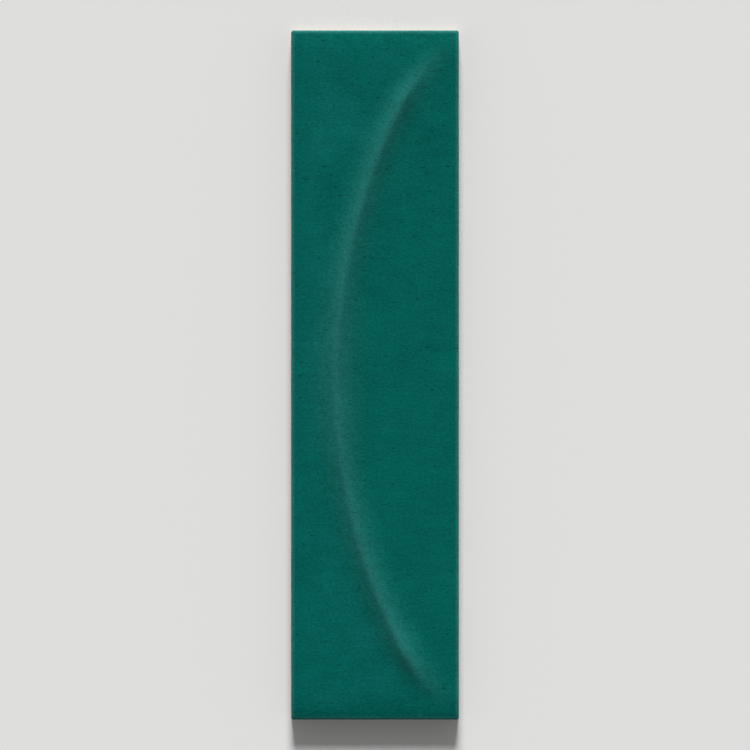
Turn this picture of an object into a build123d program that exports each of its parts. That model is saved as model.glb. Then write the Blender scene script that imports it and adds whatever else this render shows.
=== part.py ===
"""Decorative wall tile: one pressed and glazed ceramic piece with a raised arc across its face.

Two tiles side by side, one of them turned half round, close their arcs into a pointed oval.

Frame: the back lies on Z = 0 with the origin at its centre, +Z points out of the face,
+Y runs along the length and the arc bulges towards -X. Lengths are in millimetres.
"""

import os
from math import asin, cos, sqrt

from build123d import *

# Outline and body
tile_width = 73.0
tile_length = 300.0
body_thickness = 8.0  # from the back to the flat part of the face
arris_radius = 1.0  # round along the rim of the face and down the upright corners
back_chamfer = 0.5

# Raised arc: its crest is part of a circle in plan
crest_arc_radius = 260.0
crest_margin = 19.5  # from the outer long edge to the nearest point of the crest
ridge_height = 2.4
ridge_foot = 11.5  # half the width of the ridge where it meets the face
crest_round = 2.0  # half the width of its rounded crest
run_out = 24.0  # length over which each end of the ridge dies away
ridge_stop = 7.5  # from where it has died away to the short edge
ridge_end_height = 0.05  # what is left of it there

# Cushioned ends: the face rolls down towards the short edges
cushion_length = 16.0
cushion_drop = 0.8

# Keyed back: shallow pockets that the adhesive grips
key_border = 5.0
key_rib = 2.5
key_columns = 4
key_rows = 18
key_depth = 0.6
key_corner = 1.5
key_draft = 30.0  # degrees that the pocket walls lean

# Loft of the face: it is drawn past the outline by the allowance and then trimmed
trim_allowance = 4.0
end_steps = 10
step_growth = 1.3

half_width = tile_width / 2
half_length = tile_length / 2
outer_edge = -half_width
crest_share = crest_round / ridge_foot
key_pitch_x = (tile_width - 2 * key_border + key_rib) / key_columns
key_pitch_y = (tile_length - 2 * key_border + key_rib) / key_rows


def ease(share):
    """Smooth step from 0 to 1 with level ends."""
    share = min(max(share, 0), 1)
    return share**2 * (3 - 2 * share)


def crest_x(y):
    """Place of the crest across the width."""
    return outer_edge + crest_margin + crest_arc_radius - sqrt(crest_arc_radius**2 - y**2)


def crest_height(y):
    """Height of the crest over the face."""
    from_stop = half_length - ridge_stop - abs(y)
    return ridge_end_height + (ridge_height - ridge_end_height) * ease(from_stop / run_out)


def foot_reach(y):
    """Distance from the crest to the ridge's foot along X, where the section cuts the ridge at a slant."""
    return ridge_foot / cos(asin(y / crest_arc_radius))


def face_level(y):
    """Height of the face beside the ridge."""
    into_cushion = max(1 - (half_length - abs(y)) / cushion_length, 0)
    return body_thickness - cushion_drop * into_cushion**3


def station_list():
    """Where the face's section is drawn: close together at the ends, wider apart in the middle."""
    step = (ridge_stop + run_out) / end_steps
    stations = [half_length + trim_allowance]
    stations += [half_length - k * step for k in range(end_steps + 1)]
    while stations[-1] > 2 * step_growth * step:
        step *= step_growth
        stations.append(stations[-1] - step)
    return [-y for y in stations] + [0] + stations[::-1]


blank_left = min(outer_edge, crest_x(0) - foot_reach(0)) - trim_allowance
blank_end = half_length + trim_allowance
blank_right = max(half_width, crest_x(blank_end) + foot_reach(blank_end)) + trim_allowance
blank_top = body_thickness + ridge_height + trim_allowance

with BuildPart() as tile:
    # The face: flat, hollow flank, round crest, hollow flank, flat
    for y in station_list():
        middle = crest_x(y)
        level = face_level(y)
        top = level + crest_height(y)
        foot = foot_reach(y)
        shoulder = foot * crest_share
        shoulder_level = top - crest_height(y) * crest_share
        left_foot = (middle - foot, level)
        left_shoulder = (middle - shoulder, shoulder_level)
        right_shoulder = (middle + shoulder, shoulder_level)
        right_foot = (middle + foot, level)
        with BuildSketch(Plane.XZ.offset(-y)):
            with BuildLine():
                Line((blank_left, level), left_foot)
                TangentArc(left_foot, left_shoulder, tangent=(1, 0))
                ThreePointArc(left_shoulder, (middle, top), right_shoulder)
                TangentArc(right_foot, right_shoulder, tangent=(-1, 0))
                Polyline(
                    right_foot,
                    (blank_right, level),
                    (blank_right, -trim_allowance),
                    (blank_left, -trim_allowance),
                    (blank_left, level),
                )
            make_face()
    loft()

    # The outline trims it
    Box(
        tile_width,
        tile_length,
        blank_top,
        align=(Align.CENTER, Align.CENTER, Align.MIN),
        mode=Mode.INTERSECT,
    )

    # Rounded arris around the face and down the corners, small bevel around the back
    walls = tile.faces().filter_by(Plane.XZ) + tile.faces().filter_by(Plane.YZ)
    back = tile.faces().sort_by(Axis.Z)[0]
    fillet(walls.edges() - back.edges(), arris_radius)
    chamfer(tile.faces().sort_by(Axis.Z)[0].edges(), back_chamfer)

    # Keying pockets, with the draft that the press needs
    with BuildSketch(Plane.XY):
        with GridLocations(key_pitch_x, key_pitch_y, key_columns, key_rows):
            pockets = Rectangle(key_pitch_x - key_rib, key_pitch_y - key_rib)
        chamfer(pockets.vertices(), key_corner)
    extrude(amount=key_depth, taper=key_draft, mode=Mode.SUBTRACT)

tile.part.label = "wall_tile"
os.makedirs("parts", exist_ok=True)
export_step(tile.part, "parts/wall_tile.step")
print("volume", tile.part.volume, "box", tile.part.bounding_box().size, "faces", len(tile.faces()))
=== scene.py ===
"""Dresses the decorative wall tile around its CAD frame.

The tile is one pressed and fired piece: a matte teal glaze over the face and most of the edges, bare
biscuit on the lower edges and on the keyed back. A plain floor, soft light and a camera complete the stage.
"""

from math import pi, radians, tan

import bmesh
import bpy
import numpy as np
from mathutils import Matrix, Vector, noise


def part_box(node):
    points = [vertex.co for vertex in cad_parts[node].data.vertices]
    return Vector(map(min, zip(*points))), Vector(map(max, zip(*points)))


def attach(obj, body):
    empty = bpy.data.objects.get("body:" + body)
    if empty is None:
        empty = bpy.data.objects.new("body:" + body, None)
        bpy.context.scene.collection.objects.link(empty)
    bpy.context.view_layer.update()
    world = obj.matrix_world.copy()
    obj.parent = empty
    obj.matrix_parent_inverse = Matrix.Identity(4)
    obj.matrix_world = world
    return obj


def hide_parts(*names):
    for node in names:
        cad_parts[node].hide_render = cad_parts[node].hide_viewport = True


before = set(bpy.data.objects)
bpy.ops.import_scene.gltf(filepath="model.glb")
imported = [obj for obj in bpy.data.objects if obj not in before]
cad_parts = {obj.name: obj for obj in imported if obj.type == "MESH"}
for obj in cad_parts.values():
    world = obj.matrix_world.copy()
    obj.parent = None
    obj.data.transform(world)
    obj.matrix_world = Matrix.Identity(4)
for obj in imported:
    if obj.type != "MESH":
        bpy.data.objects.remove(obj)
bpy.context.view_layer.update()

bl_info = {
    "name": "Decorative wall tile",
    "version": (1, 0, 0),
    "blender": (4, 5, 0),
    "location": "3D View > Sidebar > Tile",
    "description": "Presses, glazes and lights one decorative wall tile",
    "category": "Object",
}

NODE = "wall_tile"
MM = 0.001
node_low, node_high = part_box(NODE)


def length_property(label, description, default):
    """A length in metres that the user can change."""
    return bpy.props.FloatProperty(
        name=label,
        description=description,
        default=default,
        min=0.0,
        precision=5,
        subtype="DISTANCE",
        unit="LENGTH",
    )


def share_property(label, description, default):
    """An amount from 0 to 1 that the user can change."""
    return bpy.props.FloatProperty(
        name=label, description=description, default=default, min=0.0, max=1.0, subtype="FACTOR"
    )


def angle_property(label, description, degrees):
    """An angle, written in degrees, that the user can change."""
    return bpy.props.FloatProperty(
        name=label, description=description, default=radians(degrees), subtype="ANGLE", unit="ROTATION"
    )


def plain_property(label, description, default):
    """A number without a unit that the user can change."""
    return bpy.props.FloatProperty(name=label, description=description, default=default, min=0.0)


def colour_property(label, description, default):
    """A linear colour that the user can change."""
    return bpy.props.FloatVectorProperty(
        name=label, description=description, default=default, min=0.0, max=1.0, size=3, subtype="COLOR"
    )


class TileShape(bpy.types.PropertyGroup):
    """Sizes of the pressed tile."""

    width: length_property("Width", "Across the short way", node_high.x - node_low.x)
    length: length_property("Length", "Along the long way", node_high.y - node_low.y)
    thickness: length_property("Thickness", "From the back to the flat of the face", 8.0 * MM)
    arris: length_property("Arris", "Radius round the rim of the face and down the corners", 1.0 * MM)
    back_chamfer: length_property("Back bevel", "Bevel around the back", 0.5 * MM)
    arc_radius: length_property("Arc radius", "Radius of the crest in plan", 260 * MM)
    crest_margin: length_property("Crest margin", "From the outer long edge to the crest", 19.5 * MM)
    crest_round: length_property("Crest round", "Half the width of the rounded crest", 2.0 * MM)
    ridge_height: length_property("Ridge height", "From the face to the crest", 2.4 * MM)
    ridge_foot: length_property("Ridge foot", "Half the width of the ridge on the face", 11.5 * MM)
    run_out: length_property("Run-out", "Length over which the ridge dies away", 24.0 * MM)
    ridge_stop: length_property("Ridge stop", "From there to the short edge", 7.5 * MM)
    ridge_end: length_property("Ridge end", "What is left of the ridge there", 0.05 * MM)
    cushion_length: length_property("Cushion length", "How far the ends roll down", 16.0 * MM)
    cushion_drop: length_property("Cushion drop", "How deep the ends roll down", 0.8 * MM)
    waviness: length_property("Waviness", "Unevenness that pressing and firing leave", 0.07 * MM)
    key_depth: length_property("Key depth", "Depth of the pockets in the back", 0.6 * MM)
    key_rib: length_property("Key rib", "Width of the ribs between the pockets", 2.5 * MM)
    key_border: length_property("Key border", "Plain margin around the pockets", 5.0 * MM)
    key_corner: length_property("Key corner", "Cut of the pockets' corners", 1.5 * MM)
    key_draft: angle_property("Key draft", "Angle that the pockets' walls lean", 30)
    key_columns: bpy.props.IntProperty(name="Key columns", description="Pockets across", default=4, min=1)
    key_rows: bpy.props.IntProperty(name="Key rows", description="Pockets along", default=18, min=1)


class TileLook(bpy.types.PropertyGroup):
    """Colours and finish of the glaze and of the bare body."""

    glaze: colour_property("Glaze", "Where the glaze lies thick", (0.0001, 0.0964, 0.0792))
    cool_glaze: colour_property("Cool glaze", "Outside the arc, where it is bluer", (0.0006, 0.0993, 0.0863))
    # Pale glaze where it breaks over the relief; on the crest this colour also stands in for a painted sheen
    thin_glaze_and_sheen: colour_property("Thin glaze", "Where the glaze breaks over the relief", (0.030, 0.159, 0.152))
    pinhole: colour_property("Pinholes", "Specks in the glaze", (0.0001, 0.036, 0.032))
    biscuit: colour_property("Biscuit", "The bare fired body", (0.30, 0.232, 0.172))
    roughness: share_property("Roughness", "Roughness of the glaze", 0.74)
    bare_roughness: share_property("Bare roughness", "Roughness of the biscuit", 0.9)
    specular: share_property("Specular", "Strength of the reflection", 0.03)


class StageLook(bpy.types.PropertyGroup):
    """Floor, light and camera."""

    floor: colour_property("Floor", "Colour of the floor", (0.72, 0.72, 0.71))
    key_elevation: angle_property("Key elevation", "Angle of the key light over the floor", 23)
    key_spread: angle_property("Key spread", "Angle that the key light's disc covers", 18)
    key_strength: plain_property("Key strength", "Strength of the key light", 6.0)
    horizon: plain_property("Horizon", "Soft fill from around the tile", 0.70)
    zenith: plain_property("Zenith", "Soft fill from straight above", 0.05)
    lens: plain_property("Lens", "Focal length in millimetres", 200.0)
    fill: share_property("Frame fill", "Share of the picture's height that the tile takes", 0.92)


# Shape


def ease(share):
    """Smooth step from 0 to 1 with level ends."""
    share = np.clip(share, 0, 1)
    return share**2 * (3 - 2 * share)


def ridge_rise(shape, x, y):
    """Height of the ridge over the face: a round crest between two hollow flanks."""
    from_stop = shape.length / 2 - shape.ridge_stop - abs(y)
    height = shape.ridge_end + (shape.ridge_height - shape.ridge_end) * ease(from_stop / shape.run_out)
    slant = np.sqrt(1 - (y / shape.arc_radius) ** 2)
    crest_x = -shape.width / 2 + shape.crest_margin + shape.arc_radius * (1 - slant)
    foot = shape.ridge_foot / slant
    away = np.minimum(abs(x - crest_x), foot)
    crest_share = shape.crest_round / shape.ridge_foot
    both_radii = (foot**2 + height**2) / (2 * height)
    crest_radius = both_radii * crest_share
    flank_radius = both_radii - crest_radius
    crest = height - crest_radius + np.sqrt(np.maximum(crest_radius**2 - away**2, 0))
    flank = flank_radius - np.sqrt(flank_radius**2 - (foot - away) ** 2)
    return np.where(away < foot * crest_share, crest, flank)


def cushion_fall(shape, y):
    """How far the face rolls down near the short edges."""
    into_cushion = np.maximum(1 - (shape.length / 2 - abs(y)) / shape.cushion_length, 0)
    return shape.cushion_drop * into_cushion**3


def unevenness(points, wavelength, seed):
    """Soft noise from 0 to 1 at each point."""
    values = [noise.fractal(Vector(p) / wavelength + Vector((seed, 0, 0)), 0.6, 2.0, 3) for p in points]
    return np.clip(0.5 + 0.5 * np.array(values), 0, 1)


def grid_lines(half, rounding, step, rim_turns):
    """Lines from -half to half: even steps on the flat, equal angles over the rounded rim."""
    flat = half - rounding
    inner = np.linspace(-flat, flat, round(2 * flat / step) + 1)
    rim = flat + rounding * np.tan(np.linspace(0, pi / 4, rim_turns + 1)[1:])
    return np.concatenate([-rim[::-1], inner, rim])


def round_off(points, half_x, half_y, top, rounding):
    """Points of a sharp block moved onto the same block with rounded corners and a rounded upper rim."""
    reach = np.array([half_x, half_y, top]) - rounding
    core = np.clip(points, [-reach[0], -reach[1], -np.inf], reach)
    out = points - core
    return core + rounding * out / np.linalg.norm(out, axis=1, keepdims=True)


def pocket_outline(width, length, corner):
    """Corners of a pocket, counter-clockwise, with its corners cut."""
    x, y = width / 2, length / 2
    return np.array(
        [
            (x, -y + corner),
            (x, y - corner),
            (x - corner, y),
            (-x + corner, y),
            (-x, y - corner),
            (-x, -y + corner),
            (-x + corner, -y),
            (x - corner, -y),
        ]
    )


def tile_mesh(shape):
    """The whole tile as one closed mesh."""
    face_step = 0.62 * MM
    rim_turns = 4
    wall_steps = 6
    sharp_angle = radians(35)
    dent_length, dent_seed = 22 * MM, 3.1
    edge_length, edge_seed = 17 * MM, 8.7
    half_x, half_y = shape.width / 2, shape.length / 2
    lines_x = grid_lines(half_x, shape.arris, face_step, rim_turns)
    lines_y = grid_lines(half_y, shape.arris, face_step, rim_turns)
    count_x, count_y = len(lines_x), len(lines_y)

    # Sharp block: the face's grid, then one ring of its border for each level down the walls
    grid_y, grid_x = np.meshgrid(lines_y, lines_x, indexing="ij")
    face = np.column_stack([grid_x.ravel(), grid_y.ravel(), np.full(grid_x.size, shape.thickness)])
    index = np.arange(count_x * count_y).reshape(count_y, count_x)
    border = np.concatenate([index[0, :-1], index[:-1, -1], index[-1, :0:-1], index[:0:-1, 0]])
    rim_base = shape.thickness - shape.arris
    rim_levels = rim_base + shape.arris * np.tan(np.linspace(pi / 4, 0, rim_turns + 1)[1:])
    wall_levels = np.linspace(rim_base, shape.back_chamfer, wall_steps + 1)[1:]
    rings = []
    for level in np.concatenate([rim_levels, wall_levels]):
        ring = face[border].copy()
        ring[:, 2] = level
        rings.append(ring)
    points = round_off(np.vstack([face, *rings]), half_x, half_y, shape.thickness, shape.arris)

    # Relief of the face, fading out down the walls, and the unevenness that pressing leaves
    reach = np.clip((points[:, 2] - shape.back_chamfer) / (rim_base - shape.back_chamfer), 0, 1)
    rise = ridge_rise(shape, points[:, 0], points[:, 1]) - cushion_fall(shape, points[:, 1])
    dent = shape.waviness * unevenness(points, dent_length, dent_seed)
    edge_dent = shape.waviness * unevenness(points, edge_length, edge_seed)
    points[:, 2] += reach * (rise - dent)
    near_x = np.clip(1 - (half_x - abs(points[:, 0])) / (2 * shape.arris), 0, 1)
    near_y = np.clip(1 - (half_y - abs(points[:, 1])) / (2 * shape.arris), 0, 1)
    points[:, 0] -= np.sign(points[:, 0]) * near_x * edge_dent
    points[:, 1] -= np.sign(points[:, 1]) * near_y * edge_dent

    # Bevel around the back
    inset = shape.back_chamfer
    foot = face[border] * [(half_x - inset) / half_x, (half_y - inset) / half_y, 0]
    foot = round_off(foot, half_x - inset, half_y - inset, shape.thickness, shape.arris - inset)
    points = np.vstack([points, foot])

    faces = np.stack([index[:-1, :-1], index[:-1, 1:], index[1:, 1:], index[1:, :-1]], axis=-1).reshape(-1, 4)
    upper = border
    walls = []
    for k in range(len(rings) + 1):
        lower = len(face) + k * len(border) + np.arange(len(border))
        walls.append(np.column_stack([upper, lower, np.roll(lower, -1), np.roll(upper, -1)]))
        upper = lower
    back_ring = upper
    mesh = bpy.data.meshes.new(NODE)
    mesh.from_pydata(points.tolist(), [], np.vstack([faces, *walls]).tolist())
    press_back(mesh, shape, back_ring)
    mesh.polygons.foreach_set("use_smooth", np.ones(len(mesh.polygons), bool))
    mesh.set_sharp_from_angle(angle=sharp_angle)
    return mesh


def press_back(mesh, shape, back_ring):
    """Fills the back inside its bevel, with the keying pockets pressed into it."""
    pitch_x = (shape.width - 2 * shape.key_border + shape.key_rib) / shape.key_columns
    pitch_y = (shape.length - 2 * shape.key_border + shape.key_rib) / shape.key_rows
    wall_run = shape.key_depth * tan(shape.key_draft)
    corner_loss = wall_run * (2 - 2**0.5)  # what an inset takes off a corner cut at 45 degrees
    body = bmesh.new()
    body.from_mesh(mesh)
    body.verts.ensure_lookup_table()
    ring = [body.verts[i] for i in back_ring]
    outlines = [body.edges.get((a, b)) for a, b in zip(ring, ring[1:] + ring[:1])]
    for column in range(shape.key_columns):
        for row in range(shape.key_rows):
            centre_x = (column - (shape.key_columns - 1) / 2) * pitch_x
            centre_y = (row - (shape.key_rows - 1) / 2) * pitch_y
            loops = []
            for inset, loss, depth in ((0, 0, 0), (wall_run, corner_loss, shape.key_depth)):
                outline = pocket_outline(
                    pitch_x - shape.key_rib - 2 * inset,
                    pitch_y - shape.key_rib - 2 * inset,
                    shape.key_corner - loss,
                )
                loops.append([body.verts.new((centre_x + x, centre_y + y, depth)) for x, y in outline])
            rim, floor = loops
            for k in range(len(rim)):
                body.faces.new((rim[k - 1], rim[k], floor[k], floor[k - 1]))
                outlines.append(body.edges.get((rim[k - 1], rim[k])))
            body.faces.new(floor[::-1])
    bmesh.ops.triangle_fill(body, use_beauty=True, edges=outlines, normal=(0, 0, -1))
    bmesh.ops.recalc_face_normals(body, faces=body.faces)
    body.to_mesh(mesh)
    body.free()


# Material


class Signal:
    """A node's output that takes part in expressions: each operation adds a Math node."""

    def __init__(self, sheet, socket):
        self.sheet = sheet
        self.socket = socket

    def also(self, output):
        """Another output of the same node."""
        return Signal(self.sheet, self.socket.node.outputs[output])

    def maths(self, operation, *terms):
        return self.sheet.add("ShaderNodeMath", {"operation": operation}, dict(enumerate(terms)))

    def __add__(self, other):
        return self.maths("ADD", self, other)

    def __radd__(self, other):
        return self.maths("ADD", other, self)

    def __sub__(self, other):
        return self.maths("SUBTRACT", self, other)

    def __rsub__(self, other):
        return self.maths("SUBTRACT", other, self)

    def __mul__(self, other):
        return self.maths("MULTIPLY", self, other)

    def __rmul__(self, other):
        return self.maths("MULTIPLY", other, self)

    def __truediv__(self, other):
        return self.maths("DIVIDE", self, other)

    def __rtruediv__(self, other):
        return self.maths("DIVIDE", other, self)

    def __pow__(self, other):
        return self.maths("POWER", self, other)

    def __rpow__(self, other):
        return self.maths("POWER", other, self)

    def __abs__(self):
        return self.maths("ABSOLUTE", self)

    def at_most(self, other):
        return self.maths("MINIMUM", self, other)

    def at_least(self, other):
        return self.maths("MAXIMUM", self, other)


class NodeSheet:
    """One node tree, to which nodes are added by type, settings and sockets."""

    per_row = 12

    def __init__(self, tree):
        self.tree = tree
        tree.nodes.clear()

    def add(self, kind, settings=None, sockets=None, output=0):
        """Adds a node, sets it up, fills or links its sockets and returns one of its outputs."""
        place = len(self.tree.nodes)
        node = self.tree.nodes.new(kind)
        node.location = (220 * (place % self.per_row), -260 * (place // self.per_row))
        for name, value in (settings or {}).items():
            setattr(node, name, value)
        for name, value in (sockets or {}).items():
            if isinstance(value, Signal):
                self.tree.links.new(value.socket, node.inputs[name])
            else:
                node.inputs[name].default_value = value
        return Signal(self, node.outputs[output]) if node.outputs else node

    def noise(self, place, scale, detail=2.0, roughness=0.5):
        """Noise around 0.5 at a scale in features for each millimetre."""
        sockets = {"Vector": place, "Scale": scale, "Detail": detail, "Roughness": roughness}
        return self.add("ShaderNodeTexNoise", {"noise_dimensions": "3D"}, sockets, "Fac")

    def step(self, value, low, high):
        """Smooth step of a value from 0 at low to 1 at high."""
        sockets = {"Value": value, "From Min": low, "From Max": high}
        return self.add("ShaderNodeMapRange", {"interpolation_type": "SMOOTHSTEP"}, sockets, "Result")

    def specks(self, place, scale, rarity, least, spread):
        """Spots of uneven size and depth, one to a cell; rarity is the share of cells left empty."""
        soft_from = 0.55
        least_depth = 0.3
        chance_blur = 0.05
        sockets = {"Vector": place, "Scale": scale}
        away = self.add("ShaderNodeTexVoronoi", {"feature": "F1"}, sockets, "Distance")
        chance = self.add("ShaderNodeSeparateColor", None, {0: away.also("Color")}, "Red")
        size = chance.also("Green") * spread + least
        depth = chance.also("Blue") * (1 - least_depth) + least_depth
        chosen = self.step(chance, rarity, rarity + chance_blur)
        return (1 - self.step(away / size, soft_from, 1.0)) * chosen * depth

    def blend(self, share, first, second):
        """Mix of two colours."""
        sockets = {"Factor": share, 6: first, 7: second}
        return self.add("ShaderNodeMix", {"data_type": "RGBA"}, sockets, 2)

    def stretch(self, place, factors):
        """A place with each axis scaled."""
        return self.add("ShaderNodeVectorMath", {"operation": "MULTIPLY"}, {0: place, 1: factors})

    def shift(self, place, offset):
        """A place moved by a vector."""
        return self.add("ShaderNodeVectorMath", {"operation": "ADD"}, {0: place, 1: offset})


def opaque(colour):
    """A property's colour as a socket takes it."""
    return (*colour, 1.0)


def tile_material(shape, look):
    """Matte glaze that thins over the relief, with a painted sheen on the crest, and bare biscuit under its
    lower edge.
    """
    material = bpy.data.materials.new("glazed_biscuit")
    material.use_nodes = True
    sheet = NodeSheet(material.node_tree)

    # Place on the tile in millimetres
    metres = sheet.add("ShaderNodeTexCoord", output="Object")
    place = sheet.add("ShaderNodeVectorMath", {"operation": "SCALE"}, {0: metres, "Scale": 1 / MM})
    x = sheet.add("ShaderNodeSeparateXYZ", None, {0: place}, "X")
    y = x.also("Y")
    z = x.also("Z")
    half_x = shape.width / 2 / MM
    half_y = shape.length / 2 / MM
    arc_radius = shape.arc_radius / MM
    arc_centre = -half_x + shape.crest_margin / MM + arc_radius

    # Distance from the crest, positive on the outer side, and how much of its pale line is left: thinned
    # glaze and painted sheen
    fade_past = 6.5  # how far the line outlasts the ridge
    fade_delay = 2.5  # how far into the run-out it starts to fade
    beyond = ((x - arc_centre) ** 2 + y**2) ** 0.5 - arc_radius
    from_end = half_y - abs(y)
    stop = shape.ridge_stop / MM
    run = sheet.step(from_end, stop - fade_past, stop + shape.run_out / MM - fade_delay)
    from_edge = from_end.at_most(half_x - abs(x))

    # Noise at the scales that the glaze shows, in features for each millimetre
    mottle_stretch = (0.75, 1.0, 1.0)
    grain_stretch = (0.6, 1.0, 1.0)
    brush_stretch = (0.11, 1.0, 1.0)
    brush_bend = 9.0
    cloud = sheet.noise(place, 0.06, 2.0)
    mottle = sheet.noise(sheet.stretch(place, mottle_stretch), 0.15, 2.0)
    grain = sheet.noise(sheet.stretch(place, grain_stretch), 1.25, 3.0, 0.7)
    wander = sheet.noise(place, 0.07, 1.0)
    brushed = sheet.stretch(place, brush_stretch)
    brushed = sheet.shift(brushed, sheet.add("ShaderNodeCombineXYZ", None, {"Y": wander * brush_bend}))
    brushing = sheet.noise(brushed, 0.60, 2.0, 0.6)

    # Where the glaze thins over the ridge, with a painted sheen on the crest in the same pale line: narrower
    # away from the middle, drifting inwards at the ends
    crest_reach = 22.0
    crest_narrowing = 6.0
    crest_drift = 2.6
    crest_thinness_and_sheen = 0.44
    crest_falloff = 3.2
    reach = crest_reach - sheet.step(abs(y), 5.0, 50.0) * crest_narrowing
    drift = sheet.step(abs(y), 120.0, 142.0) * crest_drift
    # Pale line on the crest: the glaze's real thinning there together with a painted sheen
    crest = run * crest_thinness_and_sheen * (1 - abs(beyond + drift) / reach).at_least(0.0) ** crest_falloff

    # Outside the arc it is a little thinner, in clouds, and along the arris much thinner
    outer_thinness = 0.01
    outer_clouds = 0.10
    arris_thinness = 0.55
    arris_wander = 0.6  # how far the mottling shifts the arris's pale band
    grain_thinness = 0.20
    cloud_thinness = 0.05
    outside = sheet.step(beyond, 4.0, 12.0) * sheet.step(from_edge, 0.5, 11.0)
    outer = outside * (outer_thinness + (cloud - 0.5) * outer_clouds)
    arris = (1 - sheet.step(from_edge + (mottle - 0.5) * arris_wander, 0.5, 2.0)) * arris_thinness
    # All the pale glaze; its crest part is partly painted sheen
    thin_and_sheen = crest + outer + arris + (grain - 0.5) * grain_thinness + (cloud - 0.5) * cloud_thinness
    thin_and_sheen = thin_and_sheen.at_least(0.0).at_most(1.0)

    # Lighter and darker glaze, and its bluer clouds outside the arc
    grain_tone = 1.15
    brushing_tone = 0.28
    mottle_tone = 0.20
    cloud_tone = 0.25
    outer_lift = 0.02
    lift = 0.01
    cool_share = 0.6
    cool_clouds = 2.4
    tone = (grain - 0.5) * grain_tone + (brushing - 0.5) * brushing_tone + outside * outer_lift + lift
    tone = tone + (mottle - 0.5) * mottle_tone + (cloud - 0.5) * cloud_tone
    cool = outside * (cool_share + (cloud - 0.5) * cool_clouds).at_least(0.0).at_most(1.0)

    # Pinholes: one in some cells, drawn out along the width
    pinhole_stretch = (0.45, 1.0, 1.0)
    small_depth = 0.70
    large_depth = 0.85
    drawn = sheet.stretch(place, pinhole_stretch)
    small = sheet.specks(drawn, scale=0.33, rarity=0.05, least=0.09, spread=0.10)
    large = sheet.specks(drawn, scale=0.09, rarity=0.60, least=0.05, spread=0.045)
    dark = (small * small_depth).at_least(large * large_depth)

    glaze = sheet.blend(cool, opaque(look.glaze), opaque(look.cool_glaze))
    # Pale glaze over the relief, and on the crest also a painted sheen
    glaze = sheet.blend(thin_and_sheen, glaze, opaque(look.thin_glaze_and_sheen))
    glaze = sheet.add("ShaderNodeVectorMath", {"operation": "SCALE"}, {0: glaze, "Scale": 1 + tone})
    glaze = sheet.blend(dark, glaze, opaque(look.pinhole))

    # The glaze ends unevenly on the sides; the biscuit below it has paler patches and fine dark specks
    least_edge = 2.2
    edge_wander = 1.6
    edge_mottle = 1.1
    edge_blur = 0.15
    speck_share = 0.5
    pale_gain = 1.25
    umber_gain = 0.55
    glaze_edge = least_edge + wander * edge_wander + mottle * edge_mottle
    glazed = sheet.step(z - glaze_edge, -edge_blur, edge_blur)
    speck = sheet.step(sheet.noise(place, 2.6, 1.0), 0.62, 0.74)
    pale = tuple(min(1.0, c * pale_gain) for c in look.biscuit)
    umber = tuple(c * umber_gain for c in look.biscuit)
    biscuit = sheet.blend(mottle, opaque(look.biscuit), opaque(pale))
    biscuit = sheet.blend(speck * speck_share, biscuit, opaque(umber))

    # Heights in millimetres; the glaze ends in a lip and thins towards the short ends
    grain_height = 0.04
    mottle_height = 0.05
    brushing_height = 0.03
    pinhole_depth = 0.05
    lip = 0.12
    end_thinning = 0.2
    into_end = (1 - from_end / (shape.cushion_length / MM)).at_least(0.0)
    relief = grain * grain_height + mottle * mottle_height + brushing * brushing_height
    relief = relief - dark * pinhole_depth + glazed * lip - into_end**2 * end_thinning
    bump = sheet.add("ShaderNodeBump", None, {"Height": relief, "Strength": 1.0, "Distance": MM}, "Normal")
    bare = look.bare_roughness
    roughness_spread = 0.08
    shader = sheet.add(
        "ShaderNodeBsdfPrincipled",
        None,
        {
            "Base Color": sheet.blend(glazed, biscuit, glaze),
            "Roughness": glazed * (look.roughness - bare) + bare + (mottle - 0.5) * roughness_spread,
            "Specular IOR Level": look.specular,
            "Normal": bump,
        },
    )
    sheet.add("ShaderNodeOutputMaterial", None, {"Surface": shader})
    return material


# Stage


def floor_material(look):
    """Plain pale matt floor."""
    material = bpy.data.materials.new("pale_floor")
    material.use_nodes = True
    sheet = NodeSheet(material.node_tree)
    shader = sheet.add(
        "ShaderNodeBsdfPrincipled",
        None,
        {"Base Color": opaque(look.floor), "Roughness": 0.9, "Specular IOR Level": 0.1},
    )
    sheet.add("ShaderNodeOutputMaterial", None, {"Surface": shader})
    return material


class TILE_OT_press(bpy.types.Operator):
    """Press the tile, glaze it and seat it on the CAD frame"""

    bl_idname = "tile.press"
    bl_label = "Press and glaze the tile"

    def execute(self, context):
        shape = context.scene.tile_shape
        tile = bpy.data.objects.new("glazed_tile", tile_mesh(shape))
        context.scene.collection.objects.link(tile)
        tile.data.materials.append(tile_material(shape, context.scene.tile_look))
        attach(tile, "root")
        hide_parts(NODE)
        return {"FINISHED"}


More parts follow.
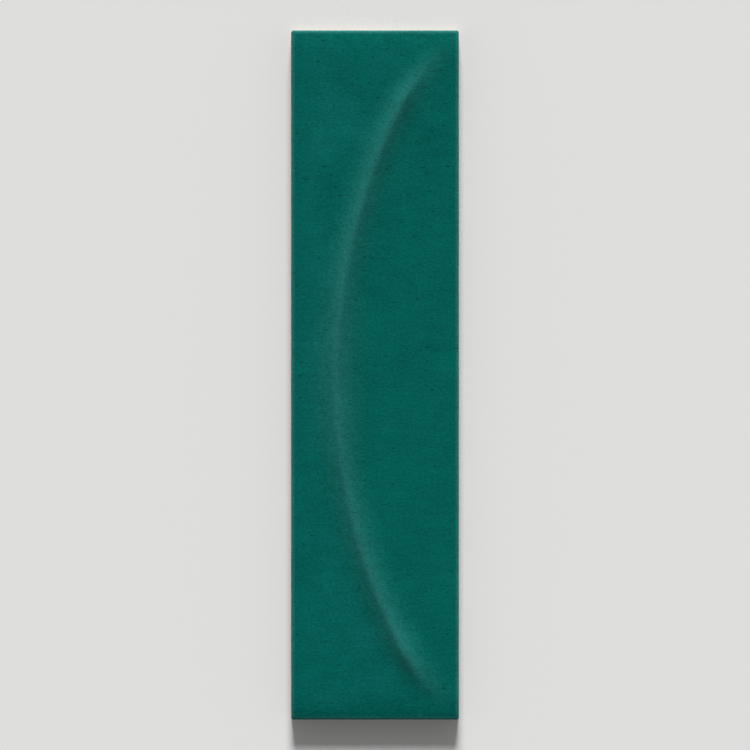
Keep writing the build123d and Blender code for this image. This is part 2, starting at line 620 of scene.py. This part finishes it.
class TILE_OT_stage(bpy.types.Operator):
    """Set up the floor, the light and the camera"""

    bl_idname = "tile.stage"
    bl_label = "Set the stage"

    floor_radius = 40.0
    floor_gap = 0.05 * MM
    sensor = 36.0

    def execute(self, context):
        look = context.scene.tile_stage
        shape = context.scene.tile_shape
        bpy.ops.mesh.primitive_circle_add(
            vertices=96, radius=self.floor_radius, fill_type="NGON", location=(0, 0, -self.floor_gap)
        )
        floor = context.object
        floor.name = "floor"
        floor.data.materials.append(floor_material(look))

        key_data = bpy.data.lights.new("key_light", "SUN")
        key_data.energy = look.key_strength
        key_data.angle = look.key_spread
        key = bpy.data.objects.new("key_light", key_data)
        key.rotation_euler = (-(pi / 2 - look.key_elevation), 0, 0)
        context.scene.collection.objects.link(key)

        world = bpy.data.worlds.new("soft_sky")
        world.use_nodes = True
        sheet = NodeSheet(world.node_tree)
        direction = sheet.add("ShaderNodeTexCoord", output="Generated")
        up = sheet.add("ShaderNodeSeparateXYZ", None, {0: direction}, "Z").at_least(0.0)
        glow = sheet.blend(up, opaque([look.horizon] * 3), opaque([look.zenith] * 3))
        sky = sheet.add("ShaderNodeBackground", None, {"Color": glow})
        sheet.add("ShaderNodeOutputWorld", None, {"Surface": sky})
        context.scene.world = world

        camera_data = bpy.data.cameras.new("camera")
        camera_data.sensor_width = self.sensor
        camera_data.lens = look.lens
        camera = bpy.data.objects.new("camera", camera_data)
        seen = shape.length / look.fill
        camera.location = (0, 0, shape.thickness + seen * look.lens / self.sensor)
        context.scene.collection.objects.link(camera)
        context.scene.camera = camera
        context.scene.view_settings.view_transform = "Standard"
        return {"FINISHED"}


class TILE_PT_panel(bpy.types.Panel):
    """Sizes, colours and steps of the tile"""

    bl_idname = "TILE_PT_panel"
    bl_label = "Decorative wall tile"
    bl_space_type = "VIEW_3D"
    bl_region_type = "UI"
    bl_category = "Tile"

    def draw(self, context):
        scene = context.scene
        for group, operator in (
            (scene.tile_shape, None),
            (scene.tile_look, TILE_OT_press),
            (scene.tile_stage, TILE_OT_stage),
        ):
            column = self.layout.column()
            for name in group.__annotations__:
                column.prop(group, name)
            if operator:
                column.operator(operator.bl_idname)


CLASSES = (TileShape, TileLook, StageLook, TILE_OT_press, TILE_OT_stage, TILE_PT_panel)


def register():
    for cls in CLASSES:
        bpy.utils.register_class(cls)
    bpy.types.Scene.tile_shape = bpy.props.PointerProperty(type=TileShape)
    bpy.types.Scene.tile_look = bpy.props.PointerProperty(type=TileLook)
    bpy.types.Scene.tile_stage = bpy.props.PointerProperty(type=StageLook)


def unregister():
    del bpy.types.Scene.tile_stage
    del bpy.types.Scene.tile_look
    del bpy.types.Scene.tile_shape
    for cls in reversed(CLASSES):
        bpy.utils.unregister_class(cls)


def main():
    register()
    bpy.ops.tile.press()
    bpy.ops.tile.stage()


if __name__ == "__main__":
    main()
